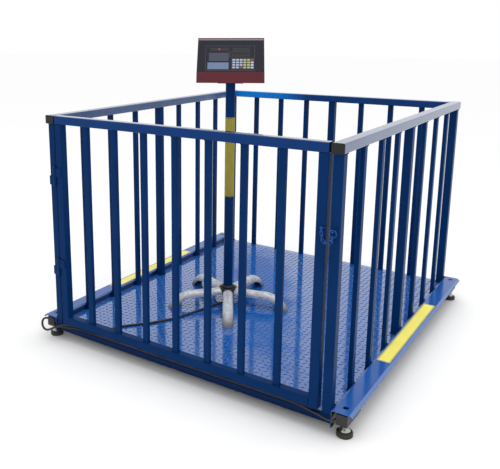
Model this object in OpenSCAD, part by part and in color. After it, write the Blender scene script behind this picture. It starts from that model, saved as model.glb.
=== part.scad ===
// Livestock weighing crate: a checker plate platform on four load cells,
// a barred fence on three sides, a hinged front gate and an indicator on a stand.
// Millimetres, +Z up, gate towards -Y, floor at z = 0.

/* [Crate] */
// Width over the side rails
crate_w = 1500; // [1300:10:2000]
// Length of the side rails with their end plugs
crate_d = 1750; // [1500:10:2400]
// Height of the rail tops above the floor
crate_h = 1160; // [1000:10:1400]

/* [Platform] */
// Height of the deck's top above the floor
deck_z = 86; // [80:1:100]
// Thickness of the checker plate
deck_t = 5; // [4:0.5:8]
// Length of the deck and of the wings
deck_len = 1740; // [1490:10:2390]
// Depth of the deck's folded front and rear edges
deck_fold = 15; // [12:1:22]
// Height of the wing tops above the floor
wing_z = 118; // [114:1:130]
// Width of the wing's top flange, from the inside of its web
wing_w = 75; // [70:1:100]
// Thickness of the wing plate
wing_t = 5; // [4:0.5:6]
// Length of the wing's turned-down lip
wing_lip = 17; // [10:1:25]
// Height of the web's lower edge above the floor
web_z = 40; // [36:1:60]
// Inside radius of the bends in the plates
bend_r = 5; // [3:0.5:8]
// Diameter of the adjusting hole over each foot
wing_hole_d = 24; // [16:1:30]
// Number of ribs under the deck
rib_count = 6; // [4:1:8]
// Width of a rib
rib_w = 60; // [40:1:80]
// Thickness of a rib's walls
rib_t = 4; // [3:0.5:6]

/* [Load cells and feet] */
// Distance of a foot from the inside of the web
foot_inset = 44; // [43:1:48]
// Distance of a foot from the end of the wing
foot_end = 44; // [42:1:80]
// Length of a load cell
cell_l = 150; // [140:1:170]
// Width of a load cell
cell_w = 46; // [32:1:46]
// Height of a load cell
cell_h = 46; // [32:0.5:47]
// Distance of the foot's axis from the cell's free end
cell_tip = 40; // [18:1:42]
// Distance between the two bolts of a cell
cell_pitch = 26; // [24:1:30]
// Thickness of the plate over a cell's fixed end
mount_t = 8; // [6:1:10]
// Diameter of a foot's stem and of the cell bolts
stem_d = 12; // [10:1:14]
// Diameter of the ball on a stem
ball_d = 20; // [18:1:22]
// Diameter of a rubber pad
pad_d = 66; // [56:1:70]
// Height of a rubber pad
pad_h = 20; // [14:1:22]
// Height of a steel cup
cup_h = 17; // [15:1:18]

/* [Fence] */
// Width of a rail's tube
rail_w = 50; // [45:1:60]
// Height of a rail's tube
rail_h = 40; // [30:1:60]
// Wall of the rail and post tubes
tube_t = 2.5; // [2:0.5:4]
// Outside corner radius of the rail and post tubes
tube_r = 5; // [4.5:0.5:8]
// Side of a post's square tube
post_w = 40; // [36:1:44]
// Distance of a post's face behind the rail's end
post_set = 10; // [6:1:14]
// Width of a bar along its panel
bar_w = 30; // [20:1:40]
// Depth of a bar across its panel
bar_d = 20; // [15:1:30]
// Wall of a bar's tube
bar_t = 1.5; // [1:0.5:3]
// Outside corner radius of a bar's tube
bar_r = 3.5; // [3.2:0.1:6]
// Flange of the plug in a rail's end
plug_t = 4; // [3:0.5:6]
// Depth that a plug reaches into a rail
plug_l = 22; // [15:1:40]

/* [Gate] */
// Side of the gate's square tube
gate_w = 40; // [36:1:44]
// Gap between the hinge post and the gate
hinge_gap = 12; // [10:1:14]
// Gap between the gate and the latch post
latch_gap = 14; // [10:1:20]
// Gap under the gate
gate_lift = 14; // [10:1:30]
// Number of bars in the gate
gate_bar_count = 7; // [5:1:9]
// Height of the upper hinge's top above the floor
hinge_top_z = 912; // [800:1:1000]
// Height of the lower hinge's top above the floor
hinge_low_z = 448; // [350:1:550]
// Length of one hinge knuckle
knuckle_l = 44; // [30:1:60]
// Diameter of a hinge barrel
barrel_d = 18; // [16:1:20]
// Diameter of a hinge pin
pin_d = 10; // [8:0.5:11]
// Radial running clearance of pins, stems and pole
run_gap = 0.06; // [0.03:0.01:0.09]

/* [Latch] */
// Height of the staple above the floor
staple_z = 843; // [700:1:950]
// Diameter of the chain's wire
wire_d = 4; // [3:0.5:4]
// Half length of a link, to the middle of its wire
link_a = 10.2; // [9.5:0.1:12]
// Half width of a link, to the middle of its wire
link_b = 5; // [5:0.1:6]
// Radius of the chain's end ring, to the middle of its wire
ring_r = 14; // [13:0.5:18]
// Diameter of the staple's wire
staple_d = 5; // [4:0.5:5]
// Diameter of the peg on the latch post
peg_d = 6; // [5:0.5:7]
// Distance that the peg stands before the rail ends
peg_reach = 20; // [19:1:30]

/* [Stand] */
// Place of the pole across the deck
pole_x = -165; // [-250:5:250]
// Place of the pole along the deck, from the platform's middle
pole_y = -130; // [-250:5:250]
// Diameter of the pole
pole_d = 50; // [40:1:52]
// Wall of the pole
pole_t = 2; // [1.5:0.5:4]
// Width of a leg
leg_w = 54; // [50:1:60]
// Height of a leg's section
leg_h = 32; // [30:1:44]
// Thickness of a leg's pressed plate
leg_t = 3; // [2:0.5:4]
// Height of the legs' tops above the deck
leg_rise = 86; // [75:1:110]
// Reach of a leg's straight part from the pole's axis
leg_straight = 210; // [180:5:300]
// Radius of a leg's bend, at the middle of its section
leg_bend = 124; // [90:1:150]
// Turn of the first leg about the pole
leg_turn = 13; // [0:1:71]
// Height of the hub's collar above the legs
collar_h = 16; // [14:1:50]

/* [Indicator] */
// Height of the case's underside above the floor
case_z = 1295; // [1230:1:1500]
// Width of the case
case_w = 345; // [320:1:400]
// Height of the case
case_h = 222; // [215:1:260]
// Depth of the case at its foot
case_d = 142; // [120:1:180]
// Height of the front band below the face
chin_h = 52; // [45:1:60]
// Depth of the case's top
case_top = 50; // [40:1:60]
// Side taper of the case
case_taper = 6; // [0:1:12]
// Wall of the case
case_t = 3; // [2:0.5:4]
// Turn of the indicator towards the operator
case_turn = 29; // [-60:1:60]
// Thickness of the face panel
face_t = 4; // [3:0.5:6]
// Thickness of the windows and of the keypad
pane_t = 2; // [1.5:0.1:2.5]
// Height of a key above the keypad
key_rise = 0.6; // [0.3:0.1:1]

/* [Junction box] */
// Length of the junction box
jbox_l = 110; // [90:1:140]
// Depth of the junction box from the web
jbox_d = 46; // [36:1:46]
// Height of the junction box
jbox_h = 42; // [36:1:44]
// Wall of the junction box
jbox_t = 3; // [2:0.5:4]

/* [Cables] */
// Diameter of the signal cable
cable_d = 11; // [7:0.5:11]
// Diameter of the load cell's lead
lead_d = 6; // [4:0.5:6]

/* [Hidden] */
$fn = 48;
eps = 1;

// The peg stands before the rails, so the platform's middle lies behind the origin.
mid_y = peg_reach / 2;
rail_front = mid_y - crate_d / 2;
rail_rear = mid_y + crate_d / 2;
rail_z = crate_h - rail_h;
rail_x = crate_w / 2 - rail_w / 2;
post_x = rail_x;
web_in = post_x + post_w / 2;
post_front = rail_front + post_set;
post_rear = rail_rear - post_set;
deck_front = mid_y - deck_len / 2;
deck_rear = mid_y + deck_len / 2;
rib_z = deck_z - deck_t;

// Feet and cells
foot_x = web_in + foot_inset;
foot_y = deck_len / 2 - foot_end;
flange_z = wing_z - wing_t;
cell_top = flange_z - mount_t;
cell_z = cell_top - cell_h;
cell_inner = cell_l - cell_tip;
bolt_edge = 18;
bolt_gap = 0.5;
bolt_head_h = 12;
bolt_head_d = 18;
nut_af = 19;
nut_h = 8;
flat_h = 6;
ball_gap = 0.4;
ball_z = pad_h + ball_d / 2 + 1;
gauge_d = 22;
gauge_h = 6;

// Fence panels: seven uprights between the corner posts, the middle one a post
upright_count = 7;
upright_mid = (upright_count + 1) / 2;
side_pitch = (crate_d - 2 * post_set - post_w) / (upright_count + 1);
rear_pitch = 2 * post_x / (upright_count + 1);
upright_h = rail_z - deck_z;
rear_rail_y = post_rear - post_w / 2;

// Gate
gate_left = -post_x + post_w / 2 + hinge_gap;
gate_right = post_x - post_w / 2 - latch_gap;
gate_len = gate_right - gate_left;
gate_z = deck_z + gate_lift;
gate_top_z = crate_h - gate_w;
gate_mid_y = rail_front + gate_w / 2;
gate_pitch = (gate_len - gate_w) / (gate_bar_count + 1);

// Hinges: the pin's axis lies in the gap, just before the gate's face
hinge_x = gate_left - hinge_gap / 2 - 3;
hinge_y = rail_front - 2;
leaf_t = 5;
leaf_l = 34;
knuckle_gap = 0.4;
head_d = 16;
head_h = 4;

// Chain: the direction of each link from the staple to the end ring, in degrees.
// Links at even places lie across the chain's plane, and odd places in it.
link_dirs = [-88, -86, -78, -45, 0, 45, 78];
function link_half(i) = i % 2 == 0 ? link_a : link_a - link_b;
function link_dir(i) = [cos(link_dirs[i]), sin(link_dirs[i])];
function link_end(i) = i < 0 ? [0, 0] : link_end(i - 1) + 2 * link_half(i) * link_dir(i);
chain_end = link_end(len(link_dirs) - 1);
ring_gap = 0.5;
staple_x = post_x - chain_end[0];
staple_bend = 7;
staple_leg = 4;
chain_y = rail_front - staple_leg - staple_bend;
chain_z = staple_z + link_b;
ring_x = post_x;
ring_z = chain_z + chain_end[1] + ring_r - wire_d - ring_gap;
peg_z = ring_z + ring_r - wire_d / 2 - peg_d / 2 - ring_gap;

// Stand
stand_y = mid_y + pole_y;
leg_count = 5;
leg_top = deck_z + leg_rise;
leg_round = 24;
toe_step = 0.5;
toe_lap = 3;
leg_sweep = 85;
leg_gap = 3;
slot_gap = 0.3;
hub_apothem = (leg_w / 2 + leg_gap) / tan(180 / leg_count);
hub_foot = 8;
hub_r = 36;
slot_l = 8;
puck_r = hub_apothem + slot_l;
puck_edge = 4;
collar_edge = 8;
hub_z = leg_top - leg_h - hub_foot;
hub_top = leg_top + collar_h;
roof_t = 3;
puck_top = leg_top + roof_t;
hub_floor = 14;
socket_z = hub_z + hub_floor;
cable_hole_d = 20;
plate_t = 4;
plate_w = 130;
plate_l = 100;
pole_top = case_z - plate_t;

// Indicator: outline of the case from the side, front edge on the left
case_front = -case_d / 2;
back_lean = 40;
face_lean = case_d - case_top - back_lean;
face_foot = [case_front, chin_h];
face_head = [case_front + face_lean, case_h - 3];
face_angle = atan2(face_lean, face_head[1] - face_foot[1]);
face_len = norm(face_head - face_foot);
face_margin = 2.5;
face_h = face_len - 2 * face_margin - 1;
face_w = case_w - 2 * case_taper - 2 * face_margin;
face_gap = 0.3;
ledge = 8;
pane_gap = 0.2;
back_z = 150;
back_edge = 8;
boss_d = 9;
boss_h = 16;
board_w = 280;
board_h = 120;
board_t = 1.6;
board_foot = 10;
boss_in = 10;
boss_up = 16;
battery_size = [110, 50, 70];
// Places on the face: left, foot, width and height of each pane, from the face's foot centre
display_at = [-5, 82, 99, 26];
lcd_at = [-116, 18, 106, 34];
keypad_at = [7, 20, 111, 52];
key_cols = 6;
key_rows = 4;
key_size = [14, 8.5];

// Junction box under the left wing, behind the front cell
jbox_gap = 66;
jbox_y = mid_y - foot_y + cell_inner + jbox_gap;
jbox_z = 62;
jbox_x = -web_in - wing_t;
lid_t = 3;
gland_l = 20;
gland_d = 14;
gland_af = 15;
gland_pitch = 18;
grommet_h = 4;
grommet_rim = 4;
cell_exit = 10;
gland_out = 12;
gland_up = 13;
gland_x = jbox_x - gland_out;
gland_z = jbox_z + gland_up;
smd_t = 1.6;
smd_gap = 8;

// Routes of the two cables, as points on their middle lines
cable_sides = 8;
cable_route = [
    [-165, -120, 128], [-165, -120, 115.1], [-166.3, -124.3, 103.4], [-168.9, -133.2, 95.2],
    [-172.7, -146.2, 91.6], [-179, -167.4, 91.6], [-189, -202, 91.6], [-199, -234, 91.6],
    [-218, -300, 91.6], [-238, -370, 91.6], [-263, -450, 91.6], [-300, -525, 91.6], [-344, -594, 91.6],
    [-392, -652, 91.6], [-434, -704, 91.6], [-456, -745, 91.6], [-466, -785, 91.6], [-480, -814, 91.6],
    [-506, -834, 91.6], [-540, -843, 91.6], [-580, -843.5, 91.6], [-618, -845.5, 91.8],
    [-645, -850, 92.8], [-668, -857, 92.8], [-692, -867, 91], [-716, -878, 83], [-742, -887, 71],
    [-767, -891, 57.5], [-793, -891, 50.5], [-815, -888, 58.5], [-824.5, -884, 79], [-817, -880, 99],
    [-798, -877, 108.5], [-777, -874.5, 106.5], [-763.5, -867, 103], [-757.4, -854, 99.5],
    [-757.5, -835, 97.5], [-757.8, -812, 96], [-758, -780, 95], [-760, -700, 93.5], [-762, -675, 93],
    [-762, -660, 93]
];
lead_route = [
    [789, 716, 82], [789, 698, 82], [785, 640, 82], [774, 560, 81], [764, 480, 79], [760, 400, 77],
    [760, 150, 76], [760, -250, 76], [760, -650, 76], [760, -800, 76], [760, -838, 76], [757, -857, 76],
    [748, -869, 77], [735, -873, 78], [715, -870, 80], [690, -865, 82], [660, -861, 84],
    [625, -857, 87.2], [580, -854, 88.8], [520, -853, 89.1], [300, -853, 89.1], [0, -853, 89.1],
    [-300, -853, 89.1], [-520, -853, 89.1], [-580, -854, 88.8], [-625, -857, 87.2], [-660, -862, 83],
    [-690, -864.5, 79], [-715, -867, 75], [-738, -872, 74], [-752, -867, 74], [-759, -855, 74],
    [-760, -835, 74], [-760, -780, 74], [-761, -700, 75], [-762, -675, 75], [-762, -660, 75]
];

tube_paint = "midnightblue";
plate_paint = "royalblue";

// Shared shapes

// Rectangle with round corners, centred
module round_rect(w, d, r) {
    x = w / 2;
    y = d / 2;
    polygon([[x - r, -y], [x, -y + r], [x, y - r], [x - r, y],
        [-x + r, y], [-x, y - r], [-x, -y + r], [-x + r, -y]]);
    for (sx = [-1, 1], sy = [-1, 1]) translate([sx * (x - r), sy * (y - r)]) circle(r);
}

// Rectangular tube standing on its end, centred on its axis
module tube(w, d, h, t, r) {
    linear_extrude(h) difference() {
        round_rect(w, d, r);
        round_rect(w - 2 * t, d - 2 * t, r - t);
    }
}

// What rounding takes off a corner at the origin whose sides run to +X and -Y
module corner_cut(r) {
    difference() {
        translate([-eps, -r]) square(r + eps);
        translate([r, -r]) circle(r);
    }
}

module at_corner(sx, sy) {
    translate([sx * foot_x, mid_y + sy * foot_y, 0]) mirror([0, sy < 0 ? 1 : 0, 0]) children();
}

module at_corners() {
    for (sx = [-1, 1], sy = [-1, 1]) at_corner(sx, sy) children();
}

module hexagon(af, h) {
    cylinder(r = af / sqrt(3), h = h, $fn = 6);
}

// Platform

module deck_plate() {
    r = bend_r + deck_t;
    edge = deck_len / 2;
    color(plate_paint)
    translate([-web_in, mid_y, deck_z]) rotate([90, 0, 90]) linear_extrude(2 * web_in) difference() {
        polygon([[-edge, -deck_fold], [-edge, 0], [edge, 0], [edge, -deck_fold],
            [edge - deck_t, -deck_fold], [edge - deck_t, -r], [edge - r, -deck_t],
            [-edge + r, -deck_t], [-edge + deck_t, -r], [-edge + deck_t, -deck_fold]]);
        for (side = [0, 1]) mirror([side, 0]) translate([-edge, 0]) {
            corner_cut(r);
            translate([r, -r]) circle(bend_r);
        }
    }
}

// Folded channel across the platform, open below
module rib() {
    translate([-web_in, 0, web_z]) rotate([90, 0, 90]) linear_extrude(2 * web_in) difference() {
        translate([-rib_w / 2, 0]) square([rib_w, rib_z - web_z]);
        translate([-rib_w / 2 + rib_t, -eps]) square([rib_w - 2 * rib_t, rib_z - web_z - rib_t + eps]);
    }
}

module deck_ribs() {
    edge = deck_t + rib_w / 2 + 20;
    pitch = (deck_len - 2 * edge) / (rib_count - 1);
    color(plate_paint)
    for (i = [0 : rib_count - 1]) translate([0, deck_front + edge + i * pitch, 0]) rib();
}

// Web, rounded bend, top flange and 45 degree lip
module wing_profile() {
    r = bend_r + wing_t;
    c = cos(45) * wing_lip;
    s = cos(45) * wing_t;
    m = tan(22.5) * wing_t;
    translate([web_in, wing_z]) difference() {
        polygon([[0, web_z - wing_z], [0, 0], [wing_w, 0], [wing_w + c, -c], [wing_w + c - s, -c - s],
            [wing_w - m, -wing_t], [r, -wing_t], [wing_t, -r], [wing_t, web_z - wing_z]]);
        corner_cut(r);
        translate([r, -r]) circle(bend_r);
    }
}

module wing(side) {
    color(plate_paint)
    mirror([side < 0 ? 1 : 0, 0, 0]) difference() {
        translate([0, deck_rear, 0]) rotate([90, 0, 0]) linear_extrude(deck_len) wing_profile();
        for (sy = [-1, 1]) translate([foot_x, mid_y + sy * foot_y, flange_z - eps])
            cylinder(d = wing_hole_d, h = wing_t + 2 * eps);
    }
}

module left_wing() wing(-1);
module right_wing() wing(1);

// Load cells and feet, drawn for a corner whose free end points to +Y

function cell_bolt_y(i) = -cell_inner + bolt_edge + i * cell_pitch;
mount_l = 2 * bolt_edge + cell_pitch;

module cell_mount_plates() {
    color(plate_paint)
    at_corners() difference() {
        translate([-cell_w / 2, -cell_inner, cell_top]) cube([cell_w, mount_l, mount_t]);
        for (i = [0, 1]) translate([0, cell_bolt_y(i), cell_top - eps])
            cylinder(d = stem_d + 2 * run_gap, h = mount_t + 2 * eps);
    }
}

// Shear beam: bolted at its inner end, tapped for the foot at its tip, gauge pockets between
module load_cell(sx, sy) {
    color("silver")
    at_corner(sx, sy) difference() {
        translate([-cell_w / 2, -cell_inner, cell_z]) cube([cell_w, cell_l, cell_h]);
        for (i = [0, 1]) translate([0, cell_bolt_y(i), cell_z - eps])
            cylinder(d = stem_d + 2 * bolt_gap, h = cell_h + 2 * eps);
        translate([0, 0, cell_z - eps]) cylinder(d = stem_d + 2 * run_gap, h = cell_h + 2 * eps);
        for (side = [-1, 1])
            translate([side * cell_w / 2, (mount_l - cell_inner) / 2, cell_z + cell_h / 2])
            rotate([0, 90, 0]) cylinder(d = gauge_d, h = 2 * gauge_h, center = true);
    }
}

module load_cell_front_left() load_cell(-1, -1);
module load_cell_front_right() load_cell(1, -1);
module load_cell_rear_left() load_cell(-1, 1);
module load_cell_rear_right() load_cell(1, 1);

module cell_bolts() {
    color("dimgray")
    at_corners() for (i = [0, 1]) translate([0, cell_bolt_y(i), 0]) {
        translate([0, 0, cell_z]) cylinder(d = stem_d, h = cell_h + mount_t - eps);
        difference() {
            translate([0, 0, cell_z - bolt_head_h]) cylinder(d = bolt_head_d, h = bolt_head_h);
            translate([0, 0, cell_z - bolt_head_h - eps]) hexagon(stem_d * 0.8, bolt_head_h / 2);
        }
    }
}

// Stem with a ball that sits in the cup and flats for a spanner
module foot_stem(sx, sy) {
    flats_z = cell_z - nut_h - flat_h - 1;
    color("lightgray")
    at_corner(sx, sy) {
        translate([0, 0, ball_z]) sphere(d = ball_d);
        translate([0, 0, ball_z]) cylinder(d = stem_d, h = cell_top - ball_z);
        translate([0, 0, flats_z]) hexagon(stem_d + 3, flat_h);
    }
}

module foot_stem_front_left() foot_stem(-1, -1);
module foot_stem_front_right() foot_stem(1, -1);
module foot_stem_rear_left() foot_stem(-1, 1);
module foot_stem_rear_right() foot_stem(1, 1);

module lock_nuts() {
    color("lightgray")
    at_corners() difference() {
        translate([0, 0, cell_z - nut_h]) hexagon(nut_af, nut_h);
        translate([0, 0, cell_z - nut_h - eps]) cylinder(d = stem_d + 2 * run_gap, h = nut_h + 2 * eps);
    }
}

module foot_cups() {
    flare = 13;
    rim = 3;
    foot_r = ball_d / 2 + flare;
    neck_r = ball_d / 2 + rim;
    color("gainsboro")
    at_corners() difference() {
        translate([0, 0, pad_h]) rotate_extrude()
            polygon([[0, 0], [foot_r, 0], [foot_r, rim], [neck_r, cup_h - rim], [neck_r, cup_h],
                [0, cup_h]]);
        translate([0, 0, ball_z]) sphere(d = ball_d + 2 * ball_gap);
    }
}

module foot_pads() {
    edge = 2;
    color("black")
    at_corners() rotate_extrude()
        polygon([[0, 0], [pad_d / 2 - edge, 0], [pad_d / 2, edge], [pad_d / 2, pad_h - 2 * edge],
            [pad_d / 2 - 2 * edge, pad_h], [0, pad_h]]);
}

// Junction box on the outside of the left web

module junction_box() {
    color("dimgray") {
        difference() {
            translate([jbox_x - jbox_d, jbox_y, jbox_z]) cube([jbox_d, jbox_l, jbox_h]);
            translate([jbox_x - jbox_d - eps, jbox_y + jbox_t, jbox_z + jbox_t])
                cube([jbox_d - jbox_t + eps, jbox_l - 2 * jbox_t, jbox_h - 2 * jbox_t]);
        }
        for (y = [12, jbox_l - 12], z = [12, jbox_h - 12])
            translate([jbox_x - jbox_t, jbox_y + y, jbox_z + z]) rotate([0, -90, 0])
            cylinder(d = 7, h = smd_gap);
    }
}

module junction_box_lid() {
    color("dimgray")
    translate([jbox_x - jbox_d - lid_t, jbox_y, jbox_z]) cube([lid_t, jbox_l, jbox_h]);
}

module summing_board() {
    edge = jbox_t + 1;
    color("darkgreen")
    translate([jbox_x - jbox_t - smd_gap - smd_t, jbox_y + edge, jbox_z + edge])
        cube([smd_t, jbox_l - 2 * edge, jbox_h - 2 * edge]);
}

// Gland with a hexagon and a domed nut, its face at the origin, pointing to -Y
module gland() {
    rotate([90, 0, 0]) {
        hexagon(gland_af, gland_l * 0.4);
        translate([0, 0, gland_l * 0.4]) rotate_extrude()
            polygon([[0, 0], [gland_d / 2, 0], [gland_d / 2, gland_l * 0.35], [gland_d / 3, gland_l * 0.6],
                [0, gland_l * 0.6]]);
    }
}

module cable_glands() {
    color("black") {
        for (i = [0, 1], end = [0, 1])
            translate([gland_x, jbox_y + end * jbox_l, gland_z + i * gland_pitch])
            rotate([0, 0, 180 * end]) gland();
        at_pole() translate([0, 0, hub_z - grommet_h])
            cylinder(d = cable_hole_d + 2 * grommet_rim, h = grommet_h);
        at_corner(1, 1) translate([0, -cell_inner, cell_z + cell_h / 2]) rotate([90, 0, 0])
            cylinder(d = gland_d, h = cell_exit);
    }
}

// Fence

module side_rail(side) {
    color(tube_paint)
    translate([side * rail_x, rail_rear - plug_t, crate_h - rail_h / 2]) rotate([90, 0, 0])
        tube(rail_w, rail_h, crate_d - 2 * plug_t, tube_t, tube_r);
}

module left_top_rail() side_rail(-1);
module right_top_rail() side_rail(1);

module rear_top_rail() {
    color(tube_paint)
    translate([-rail_x + rail_w / 2, rear_rail_y, crate_h - rail_h / 2]) rotate([0, 90, 0])
        tube(rail_h, rail_w, 2 * rail_x - rail_w, tube_t, tube_r);
}

module post(x, y) {
    color(tube_paint)
    translate([x, y, deck_z]) tube(post_w, post_w, upright_h, tube_t, tube_r);
}

module front_left_post() post(-post_x, post_front + post_w / 2);
module front_right_post() post(post_x, post_front + post_w / 2);
module rear_left_post() post(-post_x, post_rear - post_w / 2);
module rear_right_post() post(post_x, post_rear - post_w / 2);
module left_mid_post() post(-post_x, mid_y);
module right_mid_post() post(post_x, mid_y);
module rear_mid_post() post(0, rear_rail_y);

module side_bars(side) {
    color(tube_paint)
    for (i = [1 : upright_count]) if (i != upright_mid)
        translate([side * (web_in - bar_d / 2), mid_y + (i - upright_mid) * side_pitch, deck_z])
        tube(bar_d, bar_w, upright_h, bar_t, bar_r);
}

module left_bars() side_bars(-1);
module right_bars() side_bars(1);

module rear_bars() {
    color(tube_paint)
    for (i = [1 : upright_count]) if (i != upright_mid)
        translate([(i - upright_mid) * rear_pitch, post_rear - bar_d / 2, deck_z])
        tube(bar_w, bar_d, upright_h, bar_t, bar_r);
}

// Plug with a flange over the tube's end and a hollow body inside it
module rail_end_plugs() {
    w = rail_w - 2 * tube_t;
    h = rail_h - 2 * tube_t;
    wall = 4;
    corner = 6;
    color("black")
    for (sx = [-1, 1], end = [0, 1])
        translate([sx * rail_x, mid_y, crate_h - rail_h / 2]) mirror([0, end, 0])
        translate([0, crate_d / 2, 0]) rotate([90, 0, 0]) {
            linear_extrude(plug_t) round_rect(rail_w, rail_h, tube_r);
            translate([0, 0, plug_t - eps]) tube(w, h, plug_l + eps, wall, corner);
        }
}

// Gate

module gate_stile(x) {
    color(tube_paint)
    translate([x, gate_mid_y, gate_z]) tube(gate_w, gate_w, gate_top_z - gate_z, tube_t, tube_r);
}

module gate_hinge_stile() gate_stile(gate_left + gate_w / 2);
module gate_latch_stile() gate_stile(gate_right - gate_w / 2);

module gate_top_rail() {
    color(tube_paint)
    translate([gate_left, gate_mid_y, gate_top_z + gate_w / 2]) rotate([0, 90, 0])
        tube(gate_w, gate_w, gate_len, tube_t, tube_r);
}

module gate_bottom_rail() {
    color(tube_paint)
    translate([gate_left + gate_w, gate_mid_y, gate_z + gate_w / 2]) rotate([0, 90, 0])
        tube(gate_w, gate_w, gate_len - 2 * gate_w, tube_t, tube_r);
}

module gate_bars() {
    color(tube_paint)
    for (i = [1 : gate_bar_count])
        translate([gate_left + gate_w / 2 + i * gate_pitch, gate_mid_y, gate_z + gate_w])
        tube(bar_w, bar_d, gate_top_z - gate_z - gate_w, bar_t, bar_r);
}

// Barrel with its leaf and bore, standing on z = 0 on the hinge's axis
module knuckle(leaf_low, leaf_high) {
    difference() {
        union() {
            cylinder(d = barrel_d, h = knuckle_l);
            translate([leaf_low[0], leaf_low[1], 0])
                cube([leaf_high[0] - leaf_low[0], leaf_high[1] - leaf_low[1], knuckle_l]);
        }
        translate([0, 0, -eps]) cylinder(d = pin_d + 2 * run_gap, h = knuckle_l + 2 * eps);
    }
}

module gate_hinge_knuckles() {
    face = rail_front - hinge_y;
    color(tube_paint)
    for (z = [hinge_low_z, hinge_top_z]) translate([hinge_x, hinge_y, z - head_h - knuckle_l])
        knuckle([pin_d / 2 + 1, face - leaf_t], [gate_left - hinge_x + leaf_l, face]);
}

module post_hinge_knuckles() {
    face = post_front - hinge_y;
    color(tube_paint)
    for (z = [hinge_low_z, hinge_top_z])
        translate([hinge_x, hinge_y, z - head_h - 2 * knuckle_l - knuckle_gap])
        knuckle([-post_x - hinge_x - post_w / 2, face - leaf_t], [0, face]);
}

module hinge_pins() {
    l = 2 * knuckle_l + 2 * knuckle_gap;
    color("dimgray")
    for (z = [hinge_low_z, hinge_top_z]) translate([hinge_x, hinge_y, z - head_h - l + knuckle_gap]) {
        cylinder(d = pin_d, h = l + head_h / 2);
        translate([0, 0, l]) cylinder(d = head_d, h = head_h);
    }
}

// Latch

module latch_staple() {
    color(tube_paint)
    translate([staple_x, chain_y + staple_bend, staple_z]) {
        rotate([0, 0, 180]) rotate_extrude(angle = 180) translate([staple_bend, 0]) circle(d = staple_d);
        for (sx = [-1, 1]) translate([sx * staple_bend, 0, 0]) rotate([-90, 0, 0])
            cylinder(d = staple_d, h = staple_leg);
    }
}

// Welded link lying in the XZ plane, long along X
module chain_link() {
    run = link_a - link_b;
    rotate([90, 0, 0]) for (side = [0, 180]) rotate([0, 0, side]) {
        translate([run, 0, 0]) rotate([0, 0, -90]) rotate_extrude(angle = 180)
            translate([link_b, 0]) circle(d = wire_d);
        translate([-run, link_b, 0]) rotate([0, 90, 0]) cylinder(d = wire_d, h = 2 * run);
    }
}

module latch_chain() {
    color("slategray") translate([staple_x, chain_y, chain_z]) {
        for (i = [0 : len(link_dirs) - 1]) {
            middle = link_end(i - 1) + link_half(i) * link_dir(i);
            translate([middle[0], 0, middle[1]]) rotate([0, -link_dirs[i], 0])
                rotate([i % 2 == 0 ? 90 : 0, 0, 0]) chain_link();
        }
        translate([ring_x - staple_x, 0, ring_z - chain_z]) rotate([90, 0, 0])
            rotate_extrude() translate([ring_r, 0]) circle(d = wire_d);
    }
}

module latch_peg() {
    color(tube_paint)
    translate([ring_x, rail_front - peg_reach, peg_z]) rotate([-90, 0, 0])
        cylinder(d = peg_d, h = peg_reach + post_set);
}

// Stand

// Section with two round upper corners, standing on the origin
module arch(w, h, r) {
    difference() {
        translate([-w / 2, 0]) square([w, h]);
        for (side = [0, 1]) mirror([side, 0]) translate([-w / 2, h]) corner_cut(r);
    }
}

// A section carried straight out from the hub, and a little way into the toe
module leg_arm() {
    translate([hub_apothem, 0, leg_top - leg_h]) rotate([90, 0, 90])
        linear_extrude(leg_straight + toe_lap - hub_apothem) children();
}

// A section carried down in the bend that ends on the deck
module leg_toe() {
    translate([leg_straight, 0, leg_top - leg_h / 2 - leg_bend]) rotate([90, 0, 0])
        rotate([0, 0, 90 - leg_sweep]) rotate_extrude(angle = leg_sweep)
        translate([leg_bend - leg_h / 2, 0]) rotate([0, 0, -90]) children();
}

// Pressed leg along +X, open below: the toe is drawn a little wider than the arm and cut flat
module leg() {
    toe_w = leg_w + 2 * toe_step;
    difference() {
        union() {
            leg_arm() arch(leg_w, leg_h, leg_round);
            leg_toe() translate([0, -toe_step])
                arch(toe_w, leg_h + 2 * toe_step, leg_round + toe_step);
        }
        leg_arm() translate([0, -eps])
            arch(leg_w - 2 * leg_t, leg_h - leg_t + eps, leg_round - leg_t);
        leg_toe() translate([0, -toe_step - eps])
            arch(toe_w - 2 * leg_t, leg_h + 2 * toe_step - leg_t + eps, leg_round + toe_step - leg_t);
        translate([leg_straight + toe_lap, -leg_w, deck_z - 2 * leg_bend])
            cube([2 * leg_bend, 2 * leg_w, 2 * leg_bend]);
    }
}

module at_pole() {
    translate([pole_x, stand_y, 0]) children();
}

module stand_legs() {
    color("silver")
    at_pole() for (i = [0 : leg_count - 1]) rotate([0, 0, leg_turn + i * 360 / leg_count]) leg();
}

// Round hub with a slot for each leg's root, a collar and the pole's socket
module stand_hub() {
    color("black")
    at_pole() difference() {
        rotate_extrude() polygon([
            [0, hub_z], [hub_r, hub_z], [hub_r, leg_top - leg_h], [puck_r, leg_top - leg_h],
            [puck_r, puck_top - puck_edge], [puck_r - puck_edge, puck_top], [hub_r, puck_top],
            [hub_r, hub_top - collar_edge], [hub_r - collar_edge, hub_top], [0, hub_top]]);
        for (i = [0 : leg_count - 1]) rotate([0, 0, leg_turn + i * 360 / leg_count])
            translate([hub_apothem, 0, leg_top - leg_h - eps]) rotate([90, 0, 90])
            linear_extrude(slot_l + eps)
            arch(leg_w + 2 * slot_gap, leg_h + slot_gap + eps, leg_round + slot_gap);
        translate([0, 0, socket_z]) cylinder(d = pole_d + 2 * run_gap, h = hub_top - socket_z + eps);
        translate([0, 0, hub_z - eps]) cylinder(d = cable_hole_d, h = socket_z - hub_z + 2 * eps);
    }
}

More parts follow.
